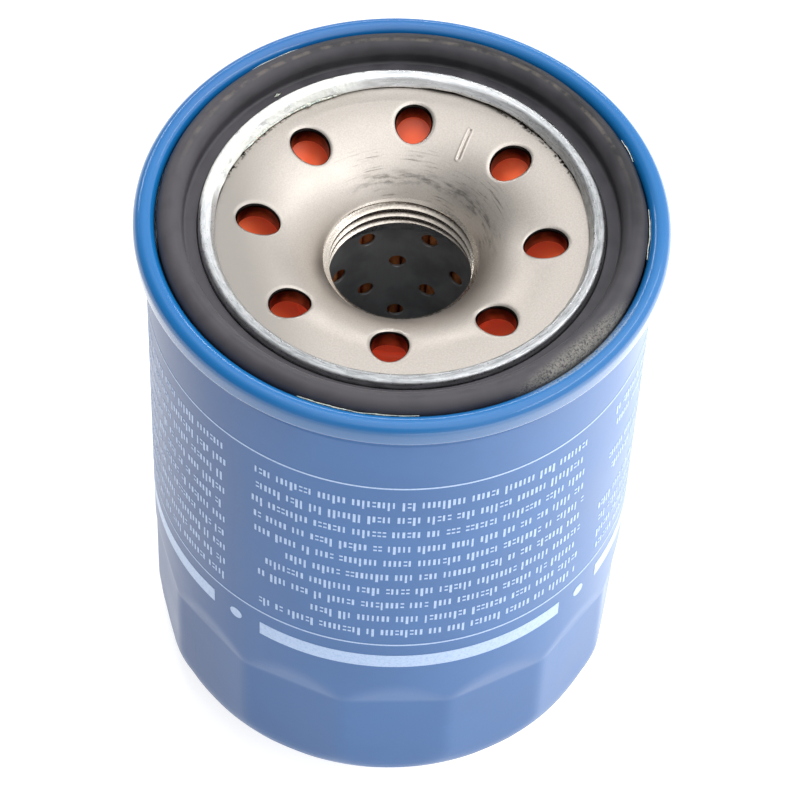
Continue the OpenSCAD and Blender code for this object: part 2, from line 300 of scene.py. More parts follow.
def turned(profile, columns, *labels, closed=True, start=0.0, warp=None, finish=None, **making):
    """Installs a piece that is one profile spun round the axis; labels are install's, from name on."""
    shell = Shell()
    shell.spin(profile, columns, start, warp, closed, finish)
    install(shell, *labels, **making)


# ---- materials

class Nodes:
    """A node tree and short ways to add to it."""

    def __init__(self, tree, coordinates):
        self.tree = tree
        self.place = self.node("ShaderNodeTexCoord").outputs[coordinates]

    def node(self, kind, **settings):
        made = self.tree.nodes.new(kind)
        for key, value in settings.items():
            setattr(made, key, value)
        return made

    def wire(self, source, target):
        """Links a socket, or sets a plain value."""
        if isinstance(source, bpy.types.NodeSocket):
            self.tree.links.new(source, target)
        else:
            target.default_value = source

    def wired(self, kind, **inputs):
        made = self.node(kind)
        for key, value in inputs.items():
            self.wire(value, made.inputs[key])
        return made

    def math(self, operation, a, b=0.0):
        made = self.node("ShaderNodeMath", operation=operation)
        self.wire(a, made.inputs[0])
        self.wire(b, made.inputs[1])
        return made.outputs[0]

    def plus(self, a, b):
        return self.math("ADD", a, b)

    def times(self, *factors):
        """Product of several values."""
        total = factors[0]
        for factor in factors[1:]:
            total = self.math("MULTIPLY", total, factor)
        return total

    def fade(self, value, low, high, to_low=0.0, to_high=1.0):
        """Maps low..high smoothly onto to_low..to_high."""
        made = self.node("ShaderNodeMapRange", interpolation_type="SMOOTHSTEP")
        for socket, number in zip(made.inputs, (value, low, high, to_low, to_high)):
            self.wire(number, socket)
        return made.outputs[0]


class Finish(Nodes):
    """A Principled material and the nodes wired into it. Places and distances in it are in metres."""

    def __init__(self, name, **sockets):
        self.material = bpy.data.materials.new(name)
        self.material.use_nodes = True
        super().__init__(self.material.node_tree, "Object")
        self.shader = self.tree.nodes["Principled BSDF"]
        for socket, value in sockets.items():
            self.shader.inputs[socket.replace("_", " ")].default_value = value

    def axis(self, name):
        """One coordinate of the surface."""
        return self.wired("ShaderNodeSeparateXYZ", Vector=self.place).outputs[name]

    def stretched(self, x, y, z):
        """The surface's place, scaled along each axis."""
        return self.wired("ShaderNodeMapping", Vector=self.place, Scale=(x, y, z)).outputs[0]

    def radius(self):
        """Distance from the filter's axis."""
        x, y = self.axis("X"), self.axis("Y")
        return self.math("SQRT", self.plus(self.times(x, x), self.times(y, y)))

    def toward(self, degrees):
        """Distance out from the axis measured along one direction in plan."""
        turn = radians(degrees)
        return self.plus(self.times(self.axis("X"), cos(turn)),
                         self.times(self.axis("Y"), sin(turn)))

    def polar(self, around, across, along):
        """Coordinates that run round, out from and up the axis, for marks left by spinning."""
        turn = self.math("ARCTAN2", self.axis("Y"), self.axis("X"))
        return self.wired("ShaderNodeCombineXYZ", X=self.times(turn, around),
                          Y=self.times(self.radius(), across), Z=self.times(self.axis("Z"), along)).outputs[0]

    def noise(self, size_mm, detail=3.0, roughness=0.5, distortion=0.0, place=None):
        """Soft noise with features of about size_mm."""
        made = self.wired("ShaderNodeTexNoise", Vector=place or self.place, Scale=1 / (size_mm * MM),
                          Detail=detail, Roughness=roughness, Distortion=distortion)
        return made.outputs["Fac"]

    def cells(self, size_mm):
        """Distance to the nearest of many scattered points, about size_mm apart."""
        made = self.wired("ShaderNodeTexVoronoi", Vector=self.place, Scale=1 / (size_mm * MM))
        return made.outputs["Distance"]

    def mix(self, factor, *colours):
        """A colour between two colours."""
        made = self.node("ShaderNodeMix", data_type="RGBA")
        self.wire(factor, made.inputs[0])
        for colour, socket in zip(colours, (made.inputs[6], made.inputs[7])):
            self.wire(colour if isinstance(colour, bpy.types.NodeSocket) else (*colour, 1), socket)
        return made.outputs[2]

    def colour(self, source):
        self.wire(source, self.shader.inputs["Base Color"])

    def roughness(self, source):
        self.wire(source, self.shader.inputs["Roughness"])

    def bump(self, height, depth_mm, strength=1.0):
        """Adds relief of depth_mm to what is already there."""
        made = self.wired("ShaderNodeBump", Height=height, Distance=depth_mm * MM, Strength=strength)
        links = self.shader.inputs["Normal"].links
        if links:
            self.wire(links[0].from_socket, made.inputs["Normal"])
        self.wire(made.outputs[0], self.shader.inputs["Normal"])


FINISHES = {}


def look(**sockets):
    """Makes the material that the decorated function describes, under the function's name."""
    def make(describe):
        made = Finish(describe.__name__, **sockets)
        describe(made)
        FINISHES[describe.__name__] = made.material
        return describe
    return make


@look(Specular_IOR_Level=0.35, Coat_Weight=0.12, Coat_Roughness=0.12)
def can_paint(f):
    """Blue lacquer over drawn steel: faint orange peel, uneven tone, fine handling scuffs and painted shade
    on the left side.
    """
    tone = f.noise(14, detail=4)
    fine = f.noise(1.1, detail=3)
    blue = f.mix(f.fade(tone, 0.3, 0.7), (0.027, 0.106, 0.285), (0.034, 0.122, 0.320))
    # Painted shade: the blue darkens toward the left side of the can.
    f.colour(f.mix(f.fade(f.axis("X"), -0.008, -0.030), blue, (0.015, 0.068, 0.210)))
    scuff = f.noise(0.5, detail=6, roughness=0.7, place=f.polar(0.25, 1, 0.06))
    rough = f.plus(f.fade(tone, 0.3, 0.7, 0.30, 0.36), f.fade(scuff, 0.58, 0.72, 0.0, 0.14))
    f.roughness(rough)
    f.bump(fine, 0.012, 0.5)
    f.bump(tone, 0.08, 0.35)


@look(Specular_IOR_Level=0.5, Coat_Weight=0.3, Coat_Roughness=0.15)
def print_ink(f):
    """Pale ink printed over the blue, thin enough to let it through in places."""
    cover = f.noise(0.35, detail=4, roughness=0.65)
    f.colour(f.mix(f.fade(cover, 0.25, 0.60), (0.26, 0.38, 0.61), (0.37, 0.49, 0.70)))
    f.roughness(f.fade(cover, 0.3, 0.7, 0.42, 0.30))
    f.bump(cover, 0.004, 0.4)


@look(Specular_IOR_Level=0.4, Coat_Weight=0.7, Coat_Roughness=0.03)
def rim_paint(f):
    """Thick glossy blue over the rolled seam, a little uneven, with grit stuck inside it on one side and
    painted shade on the back-left.
    """
    wave = f.noise(5, detail=2, place=f.polar(0.02, 1, 1))
    fleck = f.noise(0.35, detail=5, roughness=0.7)
    blue = f.mix(f.fade(fleck, 0.62, 0.74), (0.002, 0.096, 0.275), (0.006, 0.140, 0.355))
    grit = f.times(f.fade(f.toward(-42), 0.0300, 0.0318), f.fade(f.radius(), 0.0326, 0.0318),
                   f.fade(f.noise(0.3, detail=6, roughness=0.8), 0.42, 0.52))
    # Painted shade: a darker blue over the back-left of the rim, varied by the paint's waviness.
    back_left_shade = f.times(f.fade(f.toward(118), 0.018, 0.032), f.fade(wave, 0.2, 0.6, 0.6, 1.0))
    f.colour(f.mix(grit, f.mix(back_left_shade, blue, (0.002, 0.085, 0.260)), (0.15, 0.19, 0.23)))
    f.roughness(f.plus(f.fade(fleck, 0.4, 0.7, 0.16, 0.26), f.times(grit, 0.4)))
    f.bump(wave, 0.05, 0.5)
    f.bump(fleck, 0.006, 0.4)


@look(Specular_IOR_Level=0.5)
def zinc(f):
    """Bright zinc on the lid's pressed bead: spangle, spin marks, dried compound smeared on one side, and a
    painted highlight toward the back-left with painted shade toward the front-right.
    """
    spangle = f.cells(0.5)
    spin = f.noise(0.22, detail=5, roughness=0.6, place=f.polar(0.003, 1, 1))
    lumps = f.noise(1.8, detail=5, roughness=0.6)
    smear = f.times(f.fade(f.toward(138), 0.0185, 0.0220), f.fade(lumps, 0.30, 0.52, 0.25, 1.0))
    streaks = f.fade(spin, 0.36, 0.62)
    # Painted highlight and shade: a lit copy of the zinc toward the back-left and a shaded copy toward the
    # front-right.
    base = f.mix(f.fade(f.toward(120), -0.012, 0.018), f.mix(streaks, (0.36, 0.37, 0.38), (0.58, 0.59, 0.60)),
                 f.mix(streaks, (0.70, 0.715, 0.73), (0.90, 0.91, 0.92)))
    f.colour(f.mix(smear, base, (0.64, 0.65, 0.61)))
    f.wire(f.fade(smear, 0.0, 1.0, 1.0, 0.15), f.shader.inputs["Metallic"])
    f.roughness(f.plus(f.fade(spangle, 0.1, 0.6, 0.26, 0.38), f.times(smear, 0.3)))
    f.bump(f.noise(0.5, detail=3), 0.012, 0.5)
    f.bump(spin, 0.006, 0.7)
    f.bump(f.times(smear, f.noise(0.7, detail=4)), 0.20, 0.9)


@look(Metallic=1.0, Specular_IOR_Level=0.5)
def plate_steel(f):
    """Pressed steel, satin and warm: spin marks, dark drawing lines and a dark arc beside the hub, painted
    shade toward the left and painted shadow in dashes at the edge under the lid.
    """
    spin = f.noise(0.22, detail=5, roughness=0.6, place=f.polar(0.02, 1, 1))
    cloud = f.noise(6, detail=5, roughness=0.6)
    side = f.fade(f.toward(62), 0.002, 0.010)
    lines = f.fade(f.noise(0.24, detail=5, roughness=0.7, place=f.polar(0.0006, 1, 0)), 0.54, 0.64)
    rubbed = f.times(side, f.fade(f.radius(), 0.0158, 0.0135), f.fade(cloud, 0.36, 0.54))
    # A dark arc just outside the lip on one side.
    hub_dark_arc = f.times(side, f.fade(f.radius(), 0.0127, 0.0119), f.fade(f.radius(), 0.0109, 0.0114),
                     f.fade(f.noise(0.45, detail=5, roughness=0.7, place=f.polar(0.0022, 1, 0)), 0.42, 0.66))
    # Painted shadow: near-black dashes on the plate at its edge, where the lid's lifted edge leaves a gap.
    gap = f.times(f.fade(f.radius(), 0.0230, 0.0235), f.fade(f.noise(0.5, detail=3), 0.50, 0.56),
                  f.fade(f.axis("Z"), (PLATE_Z - 0.9) * MM, (PLATE_Z - 0.5) * MM),
                  f.plus(f.fade(f.toward(42), 0.0218, 0.0229), f.fade(f.toward(146), 0.0222, 0.0230)))
    base = f.mix(f.fade(spin, 0.3, 0.7), (0.550, 0.503, 0.455), (0.655, 0.603, 0.550))
    # Painted shade: the steel darkens toward the left.
    base = f.mix(f.times(f.fade(f.toward(195), 0.012, 0.021), 0.9), base, (0.40, 0.37, 0.34))
    marks = f.math("MAXIMUM", f.times(lines, rubbed, 0.8), f.times(hub_dark_arc, 0.75))
    marked = f.mix(marks, base, (0.16, 0.145, 0.13))
    f.colour(f.mix(f.math("MINIMUM", gap, 1.0), marked, (0.035, 0.03, 0.028)))
    f.roughness(f.plus(f.fade(cloud, 0.3, 0.7, 0.36, 0.44), f.fade(spin, 0.4, 0.7, 0.0, 0.06)))
    f.bump(spin, 0.003, 0.5)
    f.bump(f.times(lines, rubbed), 0.01, 0.6)


@look(Metallic=1.0, Specular_IOR_Level=0.5)
def burnished_steel(f):
    """Walls of the punched oil holes, painted with shade: nearly black near the top of the wall, lighter
    lower down.
    """
    film = f.noise(1.2, detail=3)
    inward = f.math("MAXIMUM", f.math("SUBTRACT", FUNNEL_AT_R * MM, f.radius()), 0.0)
    face = f.math("SUBTRACT", PLATE_Z * MM, f.math("DIVIDE", f.times(inward, inward), 2 * FUNNEL_R * MM))
    depth = f.math("SUBTRACT", face, f.axis("Z"))
    # Painted shade: the wall is near-black near its top and lighter lower down.
    lower = f.plus(f.fade(depth, 0.0009, 0.0034), f.fade(film, 0.3, 0.7, -0.12, 0.12))
    f.colour(f.mix(lower, (0.020, 0.018, 0.018), (0.20, 0.15, 0.14)))
    f.roughness(f.fade(film, 0.3, 0.7, 0.16, 0.26))
    f.bump(film, 0.02, 0.5)


@look(Metallic=1.0, Specular_IOR_Level=0.5)
def thread_steel(f):
    """Cut thread: bright crests, with painted shade darkening the roots."""
    cut = f.noise(0.16, detail=4, place=f.polar(0.004, 1, 1))
    # Painted shade: the thread's roots darken, except just below the lip.
    root = f.plus(f.fade(f.radius(), 0.0093, 0.00985), f.fade(cut, 0.3, 0.7, -0.15, 0.15))
    below_lip = f.fade(f.axis("Z"), (LIP_Z - 0.55) * MM, (LIP_Z - 0.95) * MM)
    f.colour(f.mix(f.times(root, below_lip), (0.66, 0.60, 0.53), (0.075, 0.062, 0.052)))
    f.roughness(f.fade(cut, 0.3, 0.7, 0.22, 0.34))
    f.bump(cut, 0.008, 0.6)


@look(Specular_IOR_Level=0.3)
def gasket_rubber(f):
    """Black moulded nitrile: fine grain, waxy bloom, lighter toward the front and on the web, dust on the
    crest, grit on one side.
    """
    grain = f.noise(0.12, detail=3)
    bloom = f.noise(3.5, detail=4)
    front = f.fade(f.toward(235), -0.030, 0.006)
    web = f.fade(f.radius(), 0.0292, 0.0285, 0.0, 0.5)
    shade = f.math("MINIMUM", f.plus(f.fade(bloom, 0.35, 0.65, 0.0, 0.3),
                                     f.math("MAXIMUM", f.times(front, 0.8), web)), 1.0)
    base = f.mix(shade, (0.012, 0.012, 0.014), (0.046, 0.043, 0.049))
    crest = f.fade(f.math("ABSOLUTE", f.math("SUBTRACT", f.radius(), (GASKET_R - 1.9) * MM)), 0.0004, 0.0001)
    dust = f.times(crest, f.fade(f.axis("Y"), 0.002, 0.016),
                   f.fade(f.noise(1.6, detail=5, roughness=0.6), 0.40, 0.60))
    sand = f.noise(0.28, detail=6, roughness=0.8)
    grit = f.times(f.fade(f.toward(-42), 0.0286, 0.0308), f.fade(sand, 0.40, 0.54))
    f.colour(f.mix(grit, f.mix(f.times(dust, 0.22), base, (0.22, 0.19, 0.15)), (0.22, 0.21, 0.19)))
    f.roughness(f.plus(f.fade(bloom, 0.3, 0.7, 0.36, 0.52), f.times(grit, 0.3)))
    f.bump(grain, 0.004, 0.5)
    f.bump(f.times(grit, sand), 0.12, 0.8)


@look(Subsurface_Weight=0.15, Subsurface_Scale=0.0006, Roughness=0.5)
def sealant(f):
    """Grey-green compound: dull, grainy and slightly see-through."""
    grain = f.noise(0.25, detail=5, roughness=0.7)
    f.colour(f.mix(f.fade(grain, 0.35, 0.65), (0.24, 0.25, 0.22), (0.56, 0.58, 0.52)))
    f.roughness(f.fade(grain, 0.3, 0.7, 0.35, 0.65))
    f.bump(grain, 0.08, 0.8)


# Painted glow: a faint emission that brightens the valve seen through the oil holes.
@look(Specular_IOR_Level=0.45, Subsurface_Weight=0.12, Subsurface_Scale=0.001,
        Emission_Color=(0.90, 0.16, 0.08, 1), Emission_Strength=0.11)
def silicone(f):
    """Orange-red silicone with a fine moulded skin, and a faint painted glow from its emission."""
    grain = f.noise(0.3, detail=3)
    oil = f.noise(4, detail=3)
    f.colour(f.mix(f.fade(oil, 0.35, 0.65), (0.90, 0.120, 0.035), (0.94, 0.160, 0.055)))
    f.roughness(f.fade(oil, 0.3, 0.7, 0.34, 0.5))
    f.bump(grain, 0.01, 0.5)


@look(Metallic=1.0)
def tinplate(f):
    """Thin bright tinplate: rolling grain along one direction and a dull oily cloud."""
    grain = f.noise(0.4, detail=4, place=f.stretched(0.04, 1, 1))
    cloud = f.noise(8, detail=3)
    f.colour(f.mix(f.fade(grain, 0.3, 0.7), (0.66, 0.67, 0.68), (0.78, 0.79, 0.80)))
    f.roughness(f.fade(cloud, 0.3, 0.7, 0.24, 0.36))
    f.bump(grain, 0.004, 0.5)


@look(Specular_IOR_Level=0.5)
def potting(f):
    """Cured red-brown adhesive, glossy with small bubbles."""
    bubbles = f.cells(0.9)
    cloud = f.noise(3, detail=3)
    f.colour(f.mix(f.fade(cloud, 0.35, 0.65), (0.17, 0.030, 0.014), (0.24, 0.046, 0.020)))
    f.roughness(f.fade(cloud, 0.3, 0.7, 0.28, 0.42))
    f.bump(f.fade(bubbles, 0.0, 0.35), 0.08, 0.7)


@look(Specular_IOR_Level=0.2)
def paper(f):
    """Resin-treated filter paper: long fibres, fine pores and uneven resin."""
    fibre = f.noise(0.5, detail=6, roughness=0.7, distortion=1.2)
    resin = f.noise(5, detail=3)
    base = f.mix(f.fade(fibre, 0.32, 0.68), (0.62, 0.195, 0.060), (0.84, 0.33, 0.115))
    f.colour(f.mix(f.fade(resin, 0.4, 0.7, 0.0, 0.5), base, (0.42, 0.12, 0.028)))
    f.roughness(f.fade(resin, 0.3, 0.7, 0.9, 0.72))
    f.bump(fibre, 0.05, 0.8)


@look(Metallic=0.35)
def tube_steel(f):
    """Dark oiled steel strip with a rolling grain."""
    grain = f.noise(0.3, detail=4, place=f.polar(0.02, 1, 0.08))
    oil = f.noise(5, detail=3)
    f.colour(f.mix(f.fade(oil, 0.35, 0.65), (0.24, 0.25, 0.258), (0.34, 0.35, 0.36)))
    f.roughness(f.fade(grain, 0.3, 0.7, 0.30, 0.48))
    f.bump(grain, 0.006, 0.5)


@look(Specular_IOR_Level=0.4)
def valve_rubber(f):
    """Black rubber of the relief valve's seal, with a dull moulded skin."""
    bloom = f.noise(1.5, detail=4)
    f.colour(f.mix(f.fade(bloom, 0.35, 0.65), (0.014, 0.014, 0.014), (0.034, 0.033, 0.032)))
    f.roughness(f.fade(bloom, 0.3, 0.7, 0.42, 0.6))
    f.bump(f.noise(0.15, detail=3), 0.008, 0.5)


@look(Metallic=1.0)
def spring_steel(f):
    """Dark drawn wire: lines along the coil and a thin oil film."""
    drawn = f.noise(0.12, detail=4, place=f.polar(0.006, 1, 1))
    film = f.noise(3, detail=3)
    f.colour(f.mix(f.fade(drawn, 0.35, 0.65), (0.16, 0.155, 0.15), (0.30, 0.295, 0.29)))
    f.roughness(f.fade(film, 0.3, 0.7, 0.26, 0.42))
    f.bump(drawn, 0.006, 0.6)


# ---- camera, stage and light

def add_camera():
    """Camera in front of the filter, looking down on its threaded end, with a slight tilt."""
    elevation = radians(53.21)
    roll = radians(2.898)
    distance = 0.49073
    target = Vector((0.00083, 0, 0.543 * HEIGHT * MM))
    forward = Vector((0, cos(elevation), -sin(elevation)))
    up = Vector((0, sin(elevation), cos(elevation)))
    right = Vector((1, 0, 0))
    x_axis = right * cos(roll) + up * sin(roll)
    y_axis = up * cos(roll) - right * sin(roll)
    data = bpy.data.cameras.new("camera")
    data.lens = 164.33
    data.sensor_width = 36
    camera = placed("camera", data)
    turn = Matrix((x_axis, y_axis, -forward)).transposed()
    camera.matrix_world = Matrix.Translation(target - forward * distance) @ turn.to_4x4()
    bpy.context.scene.camera = camera


def add_floor():
    """Large white floor, bright enough to stay white in the picture and brightest on the right."""
    half = 3.0
    floor = Finish("studio_floor", Base_Color=(0.35, 0.35, 0.355, 1), Roughness=0.9,
                   Emission_Color=(1, 1, 1, 1))
    glow = floor.fade(floor.axis("X"), -0.05, 0.16, 0.74, 1.95)
    floor.wire(glow, floor.shader.inputs["Emission Strength"])
    mesh = bpy.data.meshes.new("studio_floor")
    corners = [(-half, -half, 0), (half, -half, 0), (half, half, 0), (-half, half, 0)]
    mesh.from_pydata(corners, [], [(0, 1, 2, 3)])
    mesh.materials.append(floor.material)
    sheet = placed("studio_floor", mesh)
    sheet.location.z = -0.0002


def add_softbox(name, azimuth, elevation, distance, size, power, mirrored=True):
    """Soft light that faces the filter from the given direction; metals reflect it only if it is mirrored."""
    data = bpy.data.lights.new(name, "AREA")
    data.shape = "RECTANGLE"
    data.size, data.size_y = size
    data.energy = power
    light = placed(name, data)
    light.visible_glossy = mirrored
    a, e = radians(azimuth), radians(elevation)
    aim = Vector((0, 0, 0.06))
    away = Vector((cos(a) * cos(e), sin(a) * cos(e), sin(e)))
    light.location = aim + away * distance
    light.rotation_euler = away.to_track_quat("Z", "Y").to_euler()


def add_world():
    """White surroundings for the metals to reflect: bright overhead, dim on the left and round the camera."""
    world = bpy.data.worlds.new("studio")
    bpy.context.scene.world = world
    world.use_nodes = True
    sky = Nodes(world.node_tree, "Generated")
    background = sky.tree.nodes["Background"]
    background.inputs["Color"].default_value = (0.98, 0.99, 1.0, 1)

    def patch(direction, *limits):
        """Strength that fades between two values round one direction."""
        facing = sky.node("ShaderNodeVectorMath", operation="DOT_PRODUCT")
        sky.wire(sky.place, facing.inputs[0])
        sky.wire(Vector(direction).normalized(), facing.inputs[1])
        return sky.fade(facing.outputs["Value"], *limits)

    lit = sky.plus(patch((1, 0.15, 0), -1.0, 1.0, 0.55, 1.25),
                   patch((0.1, -0.1, 0.98), 0.55, 0.99, 0.0, 0.80))
    dim = sky.times(patch((-0.83, -0.10, 0.55), 0.60, 0.98, 1.0, 0.42),
                    patch((0.0, -0.84, 0.54), 0.90, 0.99, 1.0, 0.60),
                    patch((0.0, 1.0, 0.18), 0.60, 0.95, 1.0, 0.72))
    sky.wire(sky.times(lit, dim), background.inputs["Strength"])


def add_studio():
    bpy.context.scene.view_settings.view_transform = "Standard"
    add_camera()
    add_floor()
    add_world()
    add_softbox("key", azimuth=20, elevation=40, distance=1.0, size=(0.6, 0.6), power=5, mirrored=False)
    add_softbox("right_strip", azimuth=0, elevation=48, distance=1.0, size=(1.2, 0.04), power=1.1)
    add_softbox("back_strip", azimuth=105, elevation=30, distance=1.0, size=(1.2, 0.04), power=1.6)
    add_softbox("top", azimuth=95, elevation=77, distance=1.0, size=(0.4, 0.4), power=8, mirrored=False)


# ---- can and its printing

FLAT_COUNT = 14
FLAT_FACES = radians(-86)
FLAT_APOTHEM = CAN_R * cos(pi / FLAT_COUNT)
FLAT_TOP_Z = 21.8
FLAT_RUNOUT = 5.0
FLAT_BLEND = 0.3
CAN_COLUMNS = 24 * FLAT_COUNT


def flat_limit(height, angle):
    """Distance from the axis to the wrench flats, along one direction, eased where two flats meet."""
    step = 2 * pi / FLAT_COUNT
    off = abs((angle - FLAT_FACES + step / 2) % step - step / 2)
    apothem = FLAT_APOTHEM + max(0.0, height - FLAT_TOP_Z) / FLAT_RUNOUT
    return soft_min(apothem / cos(off), apothem / cos(step - off), FLAT_BLEND)


def soft_min(a, b, blend):
    """The smaller of two numbers, eased where they are close."""
    mix = max(0.0, min(1.0, 0.5 + (b - a) / (2 * blend)))
    return b + (a - b) * mix - blend * mix * (1 - mix)


def add_can():
    """Drawn can: dished bottom, round corner, wrench flats, neck and the hook rolled into the seam."""
    dish_r, dish_run, dish_z, corner_r = 14, 3, 1, 8
    flats_z, flats_end_z, wall_top_z, neck_z = 9, 28, 80, 83
    hook_r, half_t = 0.55, SHEET_T / 2
    outside_low = rounded([(0, dish_z), (dish_r, dish_z, 2.5), (dish_r + dish_run, 0, 2.5),
                           (CAN_R, 0, corner_r), (CAN_R, flats_z)], steps=10)
    flats = [(CAN_R, flats_z + (flats_end_z - flats_z) * i / 48) for i in range(1, 49)]
    wall = [(CAN_R, flats_end_z + (wall_top_z - flats_end_z) * i / 24) for i in range(1, 25)]
    neck = rounded([(CAN_R, wall_top_z), (CAN_R, 81, 0.5), (NECK_R + half_t, 81.95, 0.5),
                    (NECK_R + half_t, neck_z)])
    hook, over_hook = (arc((NECK_R + hook_r, SEAM_ARC_Z), hook_r + side * half_t, *turn)
                       for side, turn in ((-1, (180, 0)), (1, (0, 180))))
    outside = outside_low + flats + wall + neck[1:] + hook
    end_r, end_z = NECK_R + 2 * hook_r, SEAM_ARC_Z - 0.95
    edge = [(end_r - half_t, end_z), (end_r + half_t, end_z)]
    inside_neck = rounded([(NECK_R - half_t, neck_z), (NECK_R - half_t, 81.8, 0.3),
                           (CAN_R - SHEET_T, 80.9, 0.3), (CAN_R - SHEET_T, wall_top_z)])
    inside_wall = [(r - SHEET_T, z) for r, z in (flats + wall)[::-1]]
    inner_corner = rounded([(CAN_R - SHEET_T, flats_z), (CAN_R - SHEET_T, SHEET_T, corner_r - SHEET_T),
                            (dish_r + dish_run, SHEET_T, 2.2), (dish_r, dish_z + SHEET_T, 2.2),
                            (0, dish_z + SHEET_T)], steps=10)
    profile = outside + edge + over_hook + inside_neck + inside_wall[1:] + inner_corner

    def press_flats(r, z, angle, row):
        if r < CAN_R - corner_r or z > 60:
            return r, z
        inset = SHEET_T if row >= len(outside) + len(edge) else 0.0
        return soft_min(r, flat_limit(z, angle) - inset, FLAT_BLEND), z

    turned(profile, CAN_COLUMNS, "can", "can_paint", "housing", "can_paint", "can_shell", closed=False,
           start=FLAT_FACES, warp=press_flats)


PRINT_R = CAN_R + 0.03
PRINT_DEPTH = 0.05


def add_patch(shell, start, end, low, high):
    """A thin raised patch of ink on the can, between two angles and two heights."""
    steps = max(1, ceil((end - start) * CAN_R / 0.8))
    angles = [start + (end - start) * i / steps for i in range(steps + 1)]
    loops = []
    for a in angles:
        ring = [(PRINT_R - PRINT_DEPTH, low), (PRINT_R, low), (PRINT_R, high), (PRINT_R - PRINT_DEPTH, high)]
        loops.append([spot(r, a, z) for r, z in ring])
    shell.skin(loops)
    for ends in (loops[0], loops[-1]):
        first = len(shell.points)
        shell.points += ends
        shell.faces.append((first, first + 1, first + 2, first + 3))
        shell.finishes.append(0)


def add_dummy_row(shell, base, start, end):
    """One row of dummy text: short upright strokes and dashes in word-sized groups."""
    pitch, word_gap, dash_w = 0.64 / CAN_R, 0.9, 0.46 / CAN_R
    low_strokes, strokes = 0.62, 0.80
    stroke_h, tall_h, dash_h = 1.25, 1.75, 0.3
    at = start
    while at < end:
        for _ in range(rng.randint(2, 9)):
            if at >= end:
                break
            kind = rng.random()
            width = rng.uniform(0.24, 0.36) / CAN_R
            if kind < strokes:
                add_patch(shell, at, at + width, base - (stroke_h if kind < low_strokes else tall_h), base)
            else:
                for low in (0.05, 0.85):
                    add_patch(shell, at, at + dash_w, base - low - dash_h, base - low)
            at += pitch
        at += pitch * word_gap


def add_print():
    """Printed marks, with no lettering: two thin lines, rows of dummy text and a bar cut into four steps."""
    line_h = 0.28
    top_line, low_line = 72.1, 36.7
    row_top, row_pitch, rows = 69.3, 3.2, 10
    bar_low, bar_high, bar_gap = 31.6, 34.3, radians(7)
    step = pi / 2
    first_gap = radians(-127)
    shell = Shell()
    for z in (top_line, low_line):
        for quarter in range(4):
            add_patch(shell, quarter * step, (quarter + 1) * step, z, z + line_h)
    for quarter in range(4):
        middle = first_gap + quarter * step
        add_patch(shell, middle + bar_gap, middle + step - bar_gap, bar_low, bar_high)
        add_dot(shell, middle, (bar_low + bar_high) / 2, 1.0)
        for row in range(rows):
            ragged = rng.uniform(0.0, 0.35) if row % 3 == 2 else rng.uniform(0.0, 0.06)
            add_dummy_row(shell, row_top - row * row_pitch, middle + radians(4 + 88 * ragged),
                          middle + step - radians(3))
    install(shell, "printed_marks", "print_ink", "housing", "can_paint")


def add_dot(shell, angle, height, radius):
    """A round printed dot on the can."""
    count = 24
    loops = []
    for r, depth in ((radius * 0.02, 0), (radius, 0), (radius, PRINT_DEPTH)):
        loop = []
        for i in range(count):
            turn = 2 * pi * i / count
            a = angle + r * cos(turn) / CAN_R
            loop.append(spot(PRINT_R - depth, a, height + r * sin(turn)))
        loops.append(loop)
    shell.skin(loops)


# ---- lid, gasket and seam

def add_lid():
    """Seaming lid: pressed bead inside, gasket groove, and the seam rolled over the can."""
    groove_z = levels("gasket")[0] - 0.025 - SHEET_T / 2
    crown_z = SEAM_TOP - 1.4 - SHEET_T / 2
    edge_z = PLATE_Z + SHEET_T / 2 + 0.03
    path = rounded([(BEAD_R - 1.08, edge_z), (BEAD_R - 0.85, edge_z, 0.2),
                    (BEAD_R - 0.35, crown_z - 0.05, 0.4), (BEAD_R + 0.75, crown_z, 0.45),
                    (BEAD_R + 0.75, groove_z, 0.5), (CHUCK_R, groove_z, 0.5), (CHUCK_R, SEAM_ARC_Z - 0.1)])
    path += arc(((CHUCK_R + SEAM_R) / 2, SEAM_ARC_Z), SEAM_ARC_R, 180, 0, 24)
    path += arc((SEAM_R - HOOK_R, HOOK_Z), HOOK_R, 0, -180, 12)
    path += [(SEAM_R - 2 * HOOK_R, SEAM_ARC_Z - 0.25)]
    outline = sheet_outline(path, SHEET_T)

    def warp(r, z, angle, _row):
        """Slight ripple where the bead was pressed and the seam was rolled."""
        around = Vector((cos(angle) * 6, sin(angle) * 6, r * 0.3))
        if r < BEAD_R + 2:
            to_edge = max(0.0, min(1.0, (BEAD_R - 0.5 - r) / 0.5))
            lift = max(0.0, noise(around * 0.9 + Vector((0, 3, 0))) - 0.05)
            return r + 0.12 * to_edge * noise(around * 2), z + 0.5 * to_edge * lift + 0.02 * noise(around)
        return min(r + 0.015 * noise(around), SEAM_R + SHEET_T / 2), z

    def painted(row):
        r, z = outline[row]
        return 1 if r > CHUCK_R - 0.4 and z > SEAM_TOP - 3.6 else 0

    turned(outline, 320, "seaming_lid_rolled", "zinc rim_paint", "housing", "lid_steel", "seaming_lid",
           warp=warp, finish=painted)


